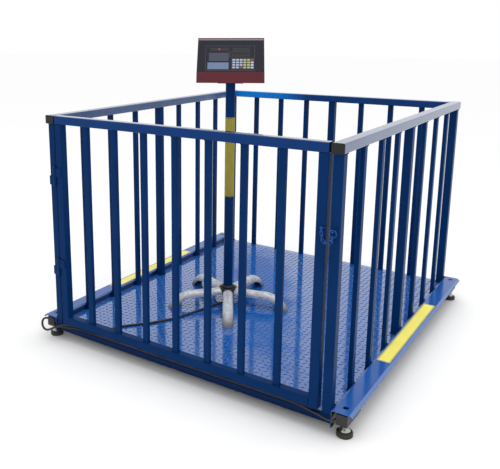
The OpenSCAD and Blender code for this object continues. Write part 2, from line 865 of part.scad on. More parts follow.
module pole() {
    color(tube_paint)
    at_pole() difference() {
        translate([0, 0, socket_z]) cylinder(d = pole_d, h = pole_top - socket_z);
        translate([0, 0, socket_z - eps])
            cylinder(d = pole_d - 2 * pole_t, h = pole_top - socket_z + 2 * eps);
    }
}

module pole_top_plate() {
    color(tube_paint)
    at_indicator() difference() {
        translate([-plate_w / 2, -plate_l / 2, -plate_t]) cube([plate_w, plate_l, plate_t]);
        translate([0, 0, -plate_t - eps]) cylinder(d = cable_hole_d, h = plate_t + 2 * eps);
    }
}

// Indicator

module at_indicator() {
    translate([pole_x, stand_y, case_z]) rotate([0, 0, case_turn]) children();
}

// Frame on the sloping face: X along its foot, Y up the slope, Z outwards
module at_face() {
    translate([0, face_foot[0], face_foot[1]]) rotate([90 - face_angle, 0, 0]) children();
}

// Outline of the face panel: it follows the case's taper
function face_half(y) = case_w / 2 - case_taper * (chin_h + y * cos(face_angle)) / case_h - face_margin;
module face_outline(inset) {
    low = face_margin;
    high = face_margin + face_h;
    polygon([
        [-face_half(low) + inset, low + inset], [face_half(low) - inset, low + inset],
        [face_half(high) - inset, high - inset], [-face_half(high) + inset, high - inset]]);
}

// Solid of the case, drawn in by a distance all round
module case_solid(inset) {
    lean = tan(face_angle);
    low = inset;
    high = case_h - inset;
    front = case_front + inset;
    slope = inset / cos(face_angle);
    back = case_d / 2 - inset;
    intersection() {
        translate([-case_w / 2, 0, 0]) rotate([90, 0, 90]) linear_extrude(case_w) polygon([
            [front, low], [back, low], [back, back_z],
            [case_front + face_lean + case_top - inset, high],
            [case_front + (high - chin_h) * lean + slope, high],
            [front, chin_h - (slope - inset) / lean]]);
        translate([0, case_d, 0]) rotate([90, 0, 0]) linear_extrude(2 * case_d) polygon([
            [-case_w / 2 + inset, 0], [case_w / 2 - inset, 0],
            [case_w / 2 - case_taper - inset, case_h], [-case_w / 2 + case_taper + inset, case_h]]);
    }
}

module indicator_case() {
    color("maroon")
    at_indicator() difference() {
        union() {
            difference() {
                case_solid(0);
                case_solid(case_t);
            }
            intersection() {
                case_solid(0);
                at_face() translate([-case_w / 2, 0, -face_t - case_t])
                    cube([case_w, face_len, face_t + case_t + eps]);
            }
        }
        at_face() translate([0, 0, -face_t]) linear_extrude(face_t + eps) face_outline(0);
        at_face() translate([-face_w / 2 + ledge, face_margin + ledge, -2 * face_t - case_t])
            cube([face_w - 2 * ledge, face_h - 2 * ledge, 2 * face_t + case_t]);
        translate([-case_w / 2 + case_taper + back_edge, case_d / 2 - 2 * case_t, back_edge])
            cube([case_w - 2 * case_taper - 2 * back_edge, 3 * case_t, back_z - 2 * back_edge]);
        translate([0, 0, -eps]) cylinder(d = cable_hole_d, h = case_t + 2 * eps);
    }
}

module indicator_back_cover() {
    color("maroon")
    at_indicator() translate([-case_w / 2 + case_taper + back_edge + face_gap, case_d / 2 - case_t,
        back_edge + face_gap])
        cube([case_w - 2 * case_taper - 2 * back_edge - 2 * face_gap, case_t,
            back_z - 2 * back_edge - 2 * face_gap]);
}

module pane_pocket(at) {
    translate([at[0], at[1], -pane_t]) cube([at[2], at[3], pane_t + eps]);
}

module pane(at) {
    translate([at[0] + pane_gap, at[1] + pane_gap, -pane_t])
        cube([at[2] - 2 * pane_gap, at[3] - 2 * pane_gap, pane_t]);
}

module indicator_face() {
    color("darkslategray")
    at_indicator() at_face() {
        difference() {
            translate([0, 0, -face_t]) linear_extrude(face_t) face_outline(face_gap);
            pane_pocket(display_at);
            pane_pocket(lcd_at);
            pane_pocket(keypad_at);
        }
        for (sx = [-1, 1], y = [boss_up, board_h - boss_up])
            translate([sx * (board_w / 2 - boss_in), ledge + board_foot + y, -face_t - boss_h])
            cylinder(d = boss_d, h = boss_h);
    }
}

module display_window() {
    color("black")
    at_indicator() at_face() pane(display_at);
}

module lcd_window() {
    color("lightsteelblue")
    at_indicator() at_face() pane(lcd_at);
}

// Membrane with a grid of raised keys
module keypad() {
    col = keypad_at[2] / key_cols;
    row = keypad_at[3] / key_rows;
    color("lightsteelblue")
    at_indicator() at_face() {
        pane(keypad_at);
        for (i = [0 : key_cols - 1], j = [0 : key_rows - 1])
            translate([keypad_at[0] + (i + 0.5) * col - key_size[0] / 2,
                keypad_at[1] + (j + 0.5) * row - key_size[1] / 2, 0])
            cube([key_size[0], key_size[1], key_rise]);
    }
}

module main_board() {
    color("darkgreen")
    at_indicator() at_face()
        translate([-board_w / 2, ledge + board_foot, -face_t - boss_h - board_t])
        cube([board_w, board_h, board_t]);
}

module backup_battery() {
    color("gray")
    at_indicator() translate([30, case_d / 2 - case_t - battery_size[1] - 4, case_t]) cube(battery_size);
}

// Cables

// Point on a smooth curve through a route's points
function curve_at(p, i, t) = let(
    a = p[max(i - 1, 0)], b = p[i], c = p[i + 1], d = p[min(i + 2, len(p) - 1)])
    0.5 * (2 * b + (c - a) * t + (2 * a - 5 * b + 4 * c - d) * t * t + (3 * b - a - 3 * c + d) * t * t * t);
function curve(p, n) = [for (i = [0 : len(p) - 2], k = [0 : n - 1]) curve_at(p, i, k / n), p[len(p) - 1]];
function unit(v) = v / norm(v);
function heading(p, i) = unit(p[min(i + 1, len(p) - 1)] - p[max(i - 1, 0)]);
// Ring of corners round a heading, measured from the side and up directions
function ring_at(centre, along, r) = let(
    side = unit(abs(along[2]) > 0.9 ? cross(along, [0, 1, 0]) : cross(along, [0, 0, 1])),
    up = cross(side, along))
    [for (k = [0 : cable_sides - 1]) let(w = 360 * (k + 0.5) / cable_sides)
        centre + r * (cos(w) * side + sin(w) * up)];

module cord(route, d, n) {
    path = curve(route, n);
    rings = len(path);
    corners = [for (i = [0 : rings - 1]) each ring_at(path[i], heading(path, i), d / 2)];
    walls = [for (i = [0 : rings - 2], k = [0 : cable_sides - 1]) let(
        k2 = (k + 1) % cable_sides,
        a = i * cable_sides + k,
        b = i * cable_sides + k2,
        c = a + cable_sides,
        e = b + cable_sides) each [[a, e, b], [a, c, e]]];
    first = [for (k = [0 : cable_sides - 1]) k];
    last = [for (k = [cable_sides - 1 : -1 : 0]) (rings - 1) * cable_sides + k];
    polyhedron(corners, concat(walls, [first, last]));
}

module signal_cable() {
    color("black") cord(cable_route, cable_d, 1);
}

module cell_lead() {
    color("saddlebrown") cord(lead_route, lead_d, 1);
}

deck_plate();
deck_ribs();
left_wing();
right_wing();
cell_mount_plates();
load_cell_front_left();
load_cell_front_right();
load_cell_rear_left();
load_cell_rear_right();
cell_bolts();
foot_stem_front_left();
foot_stem_front_right();
foot_stem_rear_left();
foot_stem_rear_right();
lock_nuts();
foot_cups();
foot_pads();
junction_box();
junction_box_lid();
summing_board();
cable_glands();
left_top_rail();
right_top_rail();
rear_top_rail();
front_left_post();
front_right_post();
rear_left_post();
rear_right_post();
left_mid_post();
right_mid_post();
rear_mid_post();
left_bars();
right_bars();
rear_bars();
rail_end_plugs();
gate_hinge_stile();
gate_latch_stile();
gate_top_rail();
gate_bottom_rail();
gate_bars();
gate_hinge_knuckles();
post_hinge_knuckles();
hinge_pins();
latch_staple();
latch_chain();
latch_peg();
stand_legs();
stand_hub();
pole();
pole_top_plate();
indicator_case();
indicator_back_cover();
indicator_face();
display_window();
lcd_window();
keypad();
main_board();
backup_battery();
signal_cable();
cell_lead();
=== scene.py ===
import math
import bpy
import bmesh
from mathutils import Matrix, Vector


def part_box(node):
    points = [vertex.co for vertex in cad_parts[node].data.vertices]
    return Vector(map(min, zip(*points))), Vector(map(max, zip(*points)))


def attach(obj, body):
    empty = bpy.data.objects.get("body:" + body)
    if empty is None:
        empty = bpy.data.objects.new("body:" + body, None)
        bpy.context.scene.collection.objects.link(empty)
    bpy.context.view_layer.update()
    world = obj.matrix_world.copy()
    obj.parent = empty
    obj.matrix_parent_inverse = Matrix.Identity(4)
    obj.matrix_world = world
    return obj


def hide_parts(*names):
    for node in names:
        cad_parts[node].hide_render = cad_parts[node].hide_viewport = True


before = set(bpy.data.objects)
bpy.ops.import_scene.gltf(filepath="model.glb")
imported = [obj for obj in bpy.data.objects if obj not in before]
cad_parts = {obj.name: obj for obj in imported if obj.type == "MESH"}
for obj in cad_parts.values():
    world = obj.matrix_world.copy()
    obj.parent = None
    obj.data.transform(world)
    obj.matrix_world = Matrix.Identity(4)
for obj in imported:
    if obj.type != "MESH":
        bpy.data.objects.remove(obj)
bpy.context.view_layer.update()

# The studio: a camera at the photograph's viewing angle, looking a little down and to the left, a
# white floor and backdrop, and one wide soft lamp above that stands for an overcast sky.
scene = bpy.context.scene
scene.view_settings.view_transform = "Standard"
mm = 0.001
eye = Vector((1588.5, -3063.9, 1540.6)) * mm
yaw, pitch, roll = -0.608, 0.216, -0.002
forward = Vector((math.sin(yaw) * math.cos(pitch), math.cos(yaw) * math.cos(pitch), -math.sin(pitch)))
right = forward.cross(Vector((0, 0, 1))).normalized()
above = right.cross(forward)
level = right * math.cos(roll) + above * math.sin(roll)
upright = above * math.cos(roll) - right * math.sin(roll)
camera = bpy.data.objects.new("camera", bpy.data.cameras.new("camera"))
scene.collection.objects.link(camera)
camera.matrix_world = Matrix.Translation(eye) @ Matrix((level, upright, -forward)).transposed().to_4x4()
camera.data.sensor_width = 36
camera.data.lens = 47.31
camera.data.shift_x = 0.1323
camera.data.shift_y = -0.1138
camera.data.clip_end = 200
scene.camera = camera


def hue(code):
    """A colour written as sRGB hex, in linear light."""
    parts = [int(code[i:i + 2], 16) / 255 for i in (1, 3, 5)]
    return [c / 12.92 if c <= 0.04045 else ((c + 0.055) / 1.055) ** 2.4 for c in parts] + [1.0]


def plug(node, links):
    """Links a node's inputs to outputs of other nodes, each given as (node, output)."""
    for name, (source, output) in links.items():
        node.id_data.links.new(source.outputs[output], node.inputs[name])


def add(tree, kind, values=None, links=None, **settings):
    """Adds a shader node, with its settings, its plain input values and its links."""
    made = tree.nodes.new("ShaderNode" + kind)
    for name, value in settings.items():
        setattr(made, name, value)
    for name, value in (values or {}).items():
        made.inputs[name].default_value = value
    plug(made, links or {})
    return made


def start_material(name, values):
    """A new material with its shader's plain values set. Gives it, its tree, shader and coordinates."""
    made = bpy.data.materials.new(name)
    made.use_nodes = True
    shader = made.node_tree.nodes["Principled BSDF"]
    for socket, value in values.items():
        shader.inputs[socket].default_value = value
    return made, made.node_tree, shader, add(made.node_tree, "TexCoord")


def keep_piece(name, bm, *materials):
    """Makes a piece at the origin from a complete bmesh."""
    mesh = bpy.data.meshes.new(name)
    bm.to_mesh(mesh)
    bm.free()
    made = bpy.data.objects.new(name, mesh)
    scene.collection.objects.link(made)
    for material in materials:
        mesh.materials.append(material)
    return made


world = bpy.data.worlds.new("overcast")
scene.world = world
world.use_nodes = True
sky = world.node_tree
sky.nodes.clear()
white = add(sky, "Background", {"Color": hue("#ffffff"), "Strength": 1.0})
add(sky, "OutputWorld", links={"Surface": (white, 0)})

lamp = bpy.data.objects.new("soft_sky", bpy.data.lights.new("soft_sky", "AREA"))
scene.collection.objects.link(lamp)
lamp.data.shape = "DISK"
lamp.data.size = 4
lamp.data.energy = 60
lamp.location = (0.9, -0.6, 4.6)
lamp.rotation_euler = (-0.12, 0.19, 0)

# Matt backdrop paper: an even near white without any shine.
paper, *_ = start_material(
    "white_backdrop_paper", {"Base Color": hue("#fdfdfd"), "Roughness": 0.9, "Specular IOR Level": 0.0})
floor_reach, floor_drop = 40, 0.3 * mm
sheet = bmesh.new()
bmesh.ops.create_grid(sheet, x_segments=1, y_segments=1, size=floor_reach)
bmesh.ops.translate(sheet, vec=(0, 0, -floor_drop), verts=sheet.verts)
floor = keep_piece("floor", sheet, paper)

# The signal cable: a black round rubber-jacketed lead that comes out under the stand's hub,
# lies loose over the deck, goes under the gate at its hinge and curls up under the left wing.
cable_route = [
    (-165, -120, 128), (-165, -120, 115.1), (-166.3, -124.3, 103.4), (-168.9, -133.2, 95.2),
    (-172.7, -146.2, 91.6), (-179, -167.4, 91.6), (-189, -202, 91.6), (-199, -234, 91.6),
    (-218, -300, 91.6), (-238, -370, 91.6), (-263, -450, 91.6), (-300, -525, 91.6), (-344, -594, 91.6),
    (-392, -652, 91.6), (-434, -704, 91.6), (-456, -745, 91.6), (-466, -785, 91.6), (-480, -814, 91.6),
    (-506, -834, 91.6), (-540, -843, 91.6), (-580, -843.5, 91.6), (-618, -845.5, 91.8),
    (-645, -850, 92.8), (-668, -857, 92.8), (-692, -867, 91), (-716, -878, 83), (-742, -887, 71),
    (-767, -891, 57.5), (-793, -891, 50.5), (-815, -888, 58.5), (-824.5, -884, 79), (-817, -880, 99),
    (-798, -877, 108.5), (-777, -874.5, 106.5), (-763.5, -867, 103), (-757.4, -854, 99.5),
    (-757.5, -835, 97.5), (-757.8, -812, 96), (-758, -780, 95), (-760, -700, 93.5), (-762, -675, 93),
    (-762, -660, 93)]


def lay_cord(name, route, diameter):
    """A cord as one open spline with a round section, smooth through its route's points in millimetres."""
    curve = bpy.data.curves.new(name, "CURVE")
    curve.dimensions = "3D"
    curve.bevel_depth = diameter / 2 * mm
    curve.bevel_resolution = 4
    curve.use_fill_caps = True
    line = [Vector(p) * mm for p in route]
    fine = []
    for i in range(len(line) - 1):
        a, b, c, d = line[max(i - 1, 0)], line[i], line[i + 1], line[min(i + 2, len(line) - 1)]
        for t in (0, 0.25, 0.5, 0.75):
            fine.append(0.5 * (2 * b + (c - a) * t + (2 * a - 5 * b + 4 * c - d) * t ** 2
                               + (3 * b - a - 3 * c + d) * t ** 3))
    fine.append(line[-1])
    spline = curve.splines.new("POLY")
    spline.points.add(len(fine) - 1)
    for point, place in zip(spline.points, fine):
        point.co = (*place, 1)
    made = bpy.data.objects.new(name, curve)
    scene.collection.objects.link(made)
    return made


# Sockets of a colour Mix node: its factor, the colour below, the colour laid over it, and its result.
by, base, over, mixed = 0, 6, 7, 2


def mottled(name, values, grain, tones, dull=None, relief=None):
    """A material mottled between two tones by a noise of (patches per metre, detail). Where they are given,
    the noise also moves its roughness between two values and raises it by (strength, metres)."""
    made, tree, shader, place = start_material(name, values)
    noise = add(tree, "TexNoise", {"Scale": grain[0], "Detail": grain[1]}, {"Vector": (place, "Object")})
    tone = add(tree, "Mix", {base: hue(tones[0]), over: hue(tones[1])}, {by: (noise, 0)}, data_type="RGBA")
    plug(shader, {"Base Color": (tone, mixed)})
    if dull:
        sheen = add(tree, "MapRange", {"To Min": dull[0], "To Max": dull[1]}, {"Value": (noise, 0)})
        plug(shader, {"Roughness": (sheen, 0)})
    if relief:
        bump = add(tree, "Bump", {"Strength": relief[0], "Distance": relief[1]}, {"Height": (noise, 0)})
        plug(shader, {"Normal": (bump, 0)})
    return made


# Extruded PVC over rubber: an even black with a dull shine and dust in its fine extrusion grain. A
# noise's scale counts patches per metre, so 160 gives specks of dust about 6 mm apart.
cable_jacket = mottled("cable_jacket_rubber", {"IOR": 1.5}, grain=(160, 3), tones=("#0c0c0d", "#2b2724"),
                       dull=(0.42, 0.62), relief=(0.15, 0.0004))
signal_cable = lay_cord("signal_cable_run", cable_route, diameter=11)
signal_cable.data.materials.append(cable_jacket)
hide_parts("signal_cable")
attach(signal_cable, "crate")

# The load cell's lead: a thinner brown-grey shielded lead from the rear right cell, under the
# right wing, along the deck's front edge and into the junction box under the left wing.
lead_route = [
    (789, 716, 82), (789, 698, 82), (785, 640, 82), (774, 560, 81), (764, 480, 79), (760, 400, 77),
    (760, 150, 76), (760, -250, 76), (760, -650, 76), (760, -800, 76), (760, -838, 76), (757, -857, 76),
    (748, -869, 77), (735, -873, 78), (715, -870, 80), (690, -865, 82), (660, -861, 84),
    (625, -857, 87.2), (580, -854, 88.8), (520, -853, 89.1), (300, -853, 89.1), (0, -853, 89.1),
    (-300, -853, 89.1), (-520, -853, 89.1), (-580, -854, 88.8), (-625, -857, 87.2), (-660, -862, 83),
    (-690, -864.5, 79), (-715, -867, 75), (-738, -872, 74), (-752, -867, 74), (-759, -855, 74),
    (-760, -835, 74), (-760, -780, 74), (-761, -700, 75), (-762, -675, 75), (-762, -660, 75)]
# Extruded soft PVC, brown-grey and slightly mottled by handling, with a satin shine.
lead_jacket = mottled("lead_jacket_pvc", {"IOR": 1.5}, grain=(220, 2), tones=("#1e1714", "#3a2f29"),
                      dull=(0.38, 0.58), relief=(0.12, 0.0003))
cell_lead = lay_cord("cell_lead_run", lead_route, diameter=6)
cell_lead.data.materials.append(lead_jacket)
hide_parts("cell_lead")
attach(cell_lead, "crate")


# The deck: a 5 mm hot-rolled checker plate with folded front and rear edges, sprayed in blue
# gloss enamel. The rolled tread stands 2 mm proud in short bars that turn by a quarter each.
def dress(material, *names):
    """Gives solids their finish."""
    for name in names:
        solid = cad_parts[name]
        solid.data.materials.clear()
        solid.data.materials.append(material)


# Sprayed enamel on plate: a wet gloss that mirrors the bars, with slow flow marks and a little dust.
deck_enamel, tree, shader, place = start_material(
    "deck_gloss_enamel", {"IOR": 1.5, "Coat IOR": 1.6, "Coat Roughness": 0.06})
cloud = add(tree, "TexNoise", {"Scale": 3.2, "Detail": 4.0, "Roughness": 0.6}, {"Vector": (place, "Object")})
tone = add(tree, "Mix", {base: hue("#0e50a0"), over: hue("#1862b4")}, {by: (cloud, 0)}, data_type="RGBA")
# Painted shade: the folded edges, the strip before the gate and the underside are painted a dark navy, for
# the shade that lies on them.
facing = add(tree, "SeparateXYZ", links={0: (place, "Normal")})
spot = add(tree, "SeparateXYZ", links={0: (place, "Object")})
topside = add(tree, "MapRange", {"From Min": 0.2, "From Max": 0.6}, {"Value": (facing, "Z")})
inside = add(tree, "MapRange", {"From Min": -0.842, "From Max": -0.832}, {"Value": (spot, "Y")})
unshaded = add(tree, "Math", links={0: (topside, 0), 1: (inside, 0)}, operation="MULTIPLY")
coat_with_painted_shade = add(tree, "Mix", {base: hue("#04204a")}, {by: (unshaded, 0), over: (tone, mixed)}, data_type="RGBA")
# Hooves have dulled a lane through the middle of the deck, about 0.35 m wide.
lane_middle, lane_turn, lane_half_size = (-0.083, 0.103, 0.086), (0, 0, 0.536), (0.18, 0.85, 1)
lane = add(tree, "Mapping", {"Location": lane_middle, "Rotation": lane_turn, "Scale": lane_half_size},
           {"Vector": (place, "Object")}, vector_type="TEXTURE")
lane = add(tree, "VectorMath", links={0: (lane, 0)}, operation="LENGTH")
scuff = add(tree, "TexNoise", {"Scale": 9.0, "Detail": 3.0}, {"Vector": (place, "Object")})
edge = add(tree, "Math", links={0: (lane, 1), 1: (scuff, 0)}, operation="ADD")
gloss = add(tree, "MapRange", {"From Min": 1.2, "From Max": 1.8, "To Min": 0.12}, {"Value": (edge, 0)})
gloss = add(tree, "Math", links={0: (gloss, 0), 1: (unshaded, 0)}, operation="MULTIPLY")
wet = add(tree, "MapRange", {"To Max": 0.85}, {"Value": (gloss, 0)})
shine = add(tree, "MapRange", {"To Min": 0.06, "To Max": 0.5}, {"Value": (gloss, 0)})
dust = add(tree, "TexNoise", {"Scale": 55.0, "Detail": 5.0, "Roughness": 0.7}, {"Vector": (place, "Object")})
speck = add(tree, "MapRange", {"From Min": 0.6, "From Max": 0.8, "To Max": 0.06}, {"Value": (dust, 0)})
dusty = add(tree, "Mix", {over: hue("#8ea6c4")}, {by: (speck, 0), base: (coat_with_painted_shade, mixed)}, data_type="RGBA")
dull = add(tree, "MapRange", {"From Min": 0.35, "From Max": 0.75, "To Min": 0.05, "To Max": 0.16},
           {"Value": (dust, 0)})
flow = add(tree, "TexNoise", {"Scale": 18.0, "Detail": 2.0}, {"Vector": (place, "Object")})
bump = add(tree, "Bump", {"Strength": 0.3, "Distance": 0.001}, {"Height": (flow, 0)})
plug(shader, {"Base Color": (dusty, mixed), "Roughness": (dull, 0), "Normal": (bump, 0),
              "Coat Weight": (wet, 0), "Specular IOR Level": (shine, 0)})
dress(deck_enamel, "deck_plate", "deck_ribs", "cell_mount_plates")

# Painted shade: the flanks of each tread bar are painted darker than the plate, for the shade along their
# feet.
flank_shade = mottled("tread_flank_painted_shade", {"IOR": 1.4, "Roughness": 0.3}, grain=(120, 4),
                      tones=("#0a2856", "#13386c"))

tread_pitch = 27.5 * mm
bar_length, bar_width, bar_height = 28 * mm, 10 * mm, 2 * mm
bar_sides, bar_crown, bar_sunk = 8, 0.22, 0.05 * mm
tread_half_width, plain_ends = 743 * mm, 44 * mm
low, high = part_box("deck_plate")
columns = int(tread_half_width / tread_pitch)
rows = int((high.y - low.y - plain_ends) / (2 * tread_pitch))
tread = bmesh.new()
for i in range(2):
    for j in range(2):
        bar = bmesh.ops.create_cone(tread, cap_ends=True, segments=bar_sides, radius1=0.5, radius2=bar_crown,
                                    depth=1)["verts"]
        bmesh.ops.transform(tread, matrix=Matrix.Diagonal((bar_length, bar_width, bar_height, 1)), verts=bar)
        turn = Matrix.Rotation(math.radians(45 if i == j else 135), 4, "Z")
        seat = Vector(((i + 0.5 - columns) * tread_pitch,
                       (low.y + high.y) / 2 + (j + 0.5 - rows) * tread_pitch,
                       high.z + bar_height / 2 - bar_sunk))
        bmesh.ops.transform(tread, matrix=Matrix.Translation(seat) @ turn, verts=bar)
tread.normal_update()
bmesh.ops.delete(tread, geom=[f for f in tread.faces if f.normal.z < -0.9], context="FACES_ONLY")
# The flanks take the painted shade, the tops the deck enamel.
for f in tread.faces:
    f.material_index = 0 if f.normal.z > 0.9 else 1
deck_tread = keep_piece("deck_tread", tread, deck_enamel, flank_shade)
for name, count, step in (("columns", columns, (2 * tread_pitch, 0, 0)),
                          ("rows", rows, (0, 2 * tread_pitch, 0))):
    spread = deck_tread.modifiers.new(name, "ARRAY")
    spread.count = count
    spread.use_relative_offset = False
    spread.use_constant_offset = True
    spread.constant_offset_displace = step
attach(deck_tread, "crate")

# The wings: plates bent along both long sides of the deck into a web, a flat top and a sloping
# lip, in the same enamel but smooth. Each carries a bare yellow vinyl label with a ruled border.
# Sprayed enamel on bent plate: an even gloss, dust in the light, orange peel drawn coarser than life.
wing_enamel, tree, shader, place = start_material("wing_gloss_enamel", {"IOR": 1.5})
cloud = add(tree, "TexNoise", {"Scale": 2.6, "Detail": 4.0, "Roughness": 0.55}, {"Vector": (place, "Object")})
tone = add(tree, "Mix", {base: hue("#194d96"), over: hue("#265fae")}, {by: (cloud, 0)}, data_type="RGBA")
# Painted shade: the web is painted navy towards the deck, and below the flange the plate is painted near
# black, for the shade under the wing.
facing = add(tree, "SeparateXYZ", links={0: (place, "Normal")})
spot = add(tree, "SeparateXYZ", links={0: (place, "Object")})
topside = add(tree, "MapRange", {"From Min": 0.2, "From Max": 0.5}, {"Value": (facing, "Z")})
outward = add(tree, "Math", links={0: (facing, "X"), 1: (spot, "X")}, operation="MULTIPLY")
outward = add(tree, "MapRange", {"From Min": 0.1, "From Max": 0.4}, {"Value": (outward, 0)})
below = add(tree, "MapRange", {"From Min": -0.2, "From Max": -0.5}, {"Value": (facing, "Z")})
painted_shade_mask = add(tree, "Math", links={0: (outward, 0), 1: (below, 0)}, operation="MAXIMUM")
painted_shade = add(tree, "Mix", {base: hue("#0a2a58"), over: hue("#141317")}, {by: (painted_shade_mask, 0)}, data_type="RGBA")
# The top coat runs down the walls of the adjusting holes, through the flange's thickness.
holes = add(tree, "MapRange", {"From Min": 0.112, "From Max": 0.1135}, {"Value": (spot, "Z")})
sprayed_and_unshaded = add(tree, "Math", links={0: (topside, 0), 1: (holes, 0)}, operation="MAXIMUM")
coat_with_painted_shade = add(tree, "Mix", links={by: (sprayed_and_unshaded, 0), base: (painted_shade, mixed), over: (tone, mixed)}, data_type="RGBA")
# Painted highlight: the sloping lip is painted paler than the flat top.
slope = add(tree, "MapRange", {"From Min": 0.95, "From Max": 0.8, "To Max": 0.22}, {"Value": (facing, "Z")})
wear_and_highlight = add(tree, "Math", links={0: (slope, 0), 1: (topside, 0)}, operation="MULTIPLY")
coat_with_painted_shade = add(tree, "Mix", {over: hue("#9aa8bc")}, {by: (wear_and_highlight, 0), base: (coat_with_painted_shade, mixed)}, data_type="RGBA")
dust = add(tree, "TexNoise", {"Scale": 70.0, "Detail": 5.0, "Roughness": 0.7}, {"Vector": (place, "Object")})
speck = add(tree, "MapRange", {"From Min": 0.6, "From Max": 0.82, "To Max": 0.12}, {"Value": (dust, 0)})
dusty = add(tree, "Mix", {over: hue("#93a8c2")}, {by: (speck, 0), base: (coat_with_painted_shade, mixed)}, data_type="RGBA")
dull = add(tree, "MapRange", {"To Min": 0.1, "To Max": 0.24}, {"Value": (dust, 0)})
peel = add(tree, "TexNoise", {"Scale": 240.0, "Detail": 1.0}, {"Vector": (place, "Object")})
bump = add(tree, "Bump", {"Strength": 0.08, "Distance": 0.0006}, {"Height": (peel, 0)})
plug(shader, {"Base Color": (dusty, mixed), "Roughness": (dull, 0), "Normal": (bump, 0)})
dress(wing_enamel, "left_wing", "right_wing")

# Printed vinyl: flat strong yellow with a soft shine, faded a little in patches.
label_vinyl = mottled("label_yellow_vinyl", {"IOR": 1.46, "Roughness": 0.38}, grain=(14, 3),
                      tones=("#f2e558", "#fdf484"), relief=(0.1, 0.0005))
# Printing ink on vinyl: brown-black, thin in places.
label_ink = mottled("label_ruling_ink", {"IOR": 1.46, "Roughness": 0.5}, grain=(90, 2),
                    tones=("#2a2718", "#5a5330"))

label_thick, label_margin, label_rule, label_lift = 0.3 * mm, 4 * mm, 3 * mm, 0.05 * mm


def ruled_label(width, length):
    """A thin label in the XY plane with a ruled border, its back on the origin."""
    label = bmesh.new()
    bmesh.ops.create_cube(label, size=1)
    bmesh.ops.scale(label, vec=(width, length, label_thick), verts=label.verts)
    bmesh.ops.translate(label, vec=(0, 0, label_thick / 2), verts=label.verts)
    face = [f for f in label.faces if f.normal.z > 0.9]
    bmesh.ops.inset_region(label, faces=face, thickness=label_margin)
    rule = bmesh.ops.inset_region(label, faces=face, thickness=label_rule)["faces"]
    for f in rule:
        f.material_index = 1
    return label


wing_top, wing_label_x, wing_label_y = 118 * mm, 787 * mm, 10.5 * mm
for side, name in ((-1, "left_wing_label"), (1, "right_wing_label")):
    label = ruled_label(58 * mm, 755 * mm)
    bmesh.ops.translate(label, vec=(side * wing_label_x, wing_label_y, wing_top + label_lift),
                        verts=label.verts)
    wing_label = keep_piece(name, label, label_vinyl, label_ink)
    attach(wing_label, "crate")

# The load cells: alloy steel shear beams in black enamel under the wings. Two black socket screws
# hold the inner end of each up to its mount plate, and its tip is tapped for a foot.
# Baked black enamel over machined steel: near black, satin, with a fine grain.
cell_enamel, tree, shader, place = start_material("cell_black_enamel", {"IOR": 1.45})
grain = add(tree, "TexNoise", {"Scale": 180.0, "Detail": 4.0}, {"Vector": (place, "Object")})
tone = add(tree, "Mix", {base: hue("#161618"), over: hue("#2c2c2f")}, {by: (grain, 0)}, data_type="RGBA")
# Blue overspray lies on the cells' tops, where it came through the adjusting holes.
hole_place = (789 * mm, 826 * mm, 0)
facing = add(tree, "SeparateXYZ", links={0: (place, "Normal")})
topside = add(tree, "MapRange", {"From Min": 0.5, "From Max": 0.8}, {"Value": (facing, "Z")})
corner = add(tree, "VectorMath", links={0: (place, "Object")}, operation="ABSOLUTE")
corner = add(tree, "VectorMath", {1: (1, 1, 0)}, {0: (corner, 0)}, operation="MULTIPLY")
away = add(tree, "VectorMath", {1: hole_place}, {0: (corner, 0)}, operation="DISTANCE")
under = add(tree, "MapRange", {"From Min": 0.026, "From Max": 0.02}, {"Value": (away, 1)})
sprayed_and_unshaded = add(tree, "Math", links={0: (under, 0), 1: (topside, 0)}, operation="MULTIPLY")
tone = add(tree, "Mix", {over: hue("#265fae")}, {by: (sprayed_and_unshaded, 0), base: (tone, mixed)}, data_type="RGBA")
dull = add(tree, "MapRange", {"To Min": 0.35, "To Max": 0.55}, {"Value": (grain, 0)})
bump = add(tree, "Bump", {"Strength": 0.2, "Distance": 0.0004}, {"Height": (grain, 0)})
plug(shader, {"Base Color": (tone, mixed), "Roughness": (dull, 0), "Normal": (bump, 0)})
dress(cell_enamel, "load_cell_front_left", "load_cell_front_right", "load_cell_rear_left",
      "load_cell_rear_right")

# Black oxide on alloy screws: near black with a faint oily sheen.
black_oxide = mottled("black_oxide_steel", {"Metallic": 1.0}, grain=(300, 3), tones=("#2a2a2c", "#46464a"),
                      dull=(0.35, 0.55))
dress(black_oxide, "cell_bolts", "hinge_pins")

# The feet: zinc-plated threaded stems with a ball end in a pressed steel cup on a black rubber
# pad, locked by a nut. The thread shows as fine rings; the cup is bright from the press.
# Electroplated zinc: a pale grey metal, blotched where it has begun to dull.
zinc = mottled("bright_zinc_plate", {"Metallic": 1.0}, grain=(130, 4), tones=("#8c8c87", "#c8c8c3"),
               dull=(0.16, 0.36))
dress(zinc, "lock_nuts", "foot_cups")

# Zinc on a rolled M12 thread, in fine rings, one for each turn: painted highlights on the crests and
# painted shade in the roots. At a scale of 1, a wave texture goes through 20 radians in a metre.
thread_pitch, wave_rate = 1.75 * mm, 20
threaded_zinc, tree, shader, place = start_material(
    "threaded_zinc_plate", {"Metallic": 1.0, "Roughness": 0.3})
thread = add(tree, "TexWave", {"Scale": 2 * math.pi / (wave_rate * thread_pitch)},
             {"Vector": (place, "Object")}, wave_type="BANDS", bands_direction="Z", wave_profile="SIN")
tone = add(tree, "Mix", {base: hue("#6d6d6a"), over: hue("#d8d8d4")}, {by: (thread, 1)}, data_type="RGBA")
bump = add(tree, "Bump", {"Strength": 0.7, "Distance": 0.0008}, {"Height": (thread, 1)})
plug(shader, {"Base Color": (tone, mixed), "Normal": (bump, 0)})
dress(threaded_zinc, "foot_stem_front_left", "foot_stem_front_right", "foot_stem_rear_left",
      "foot_stem_rear_right")

# Moulded nitrile rubber: dull black, greyed by floor dust in its grain.
pad_rubber = mottled("moulded_pad_rubber", {"IOR": 1.52}, grain=(190, 4), tones=("#121213", "#35332f"),
                     dull=(0.55, 0.8), relief=(0.3, 0.0006))
dress(pad_rubber, "foot_pads")

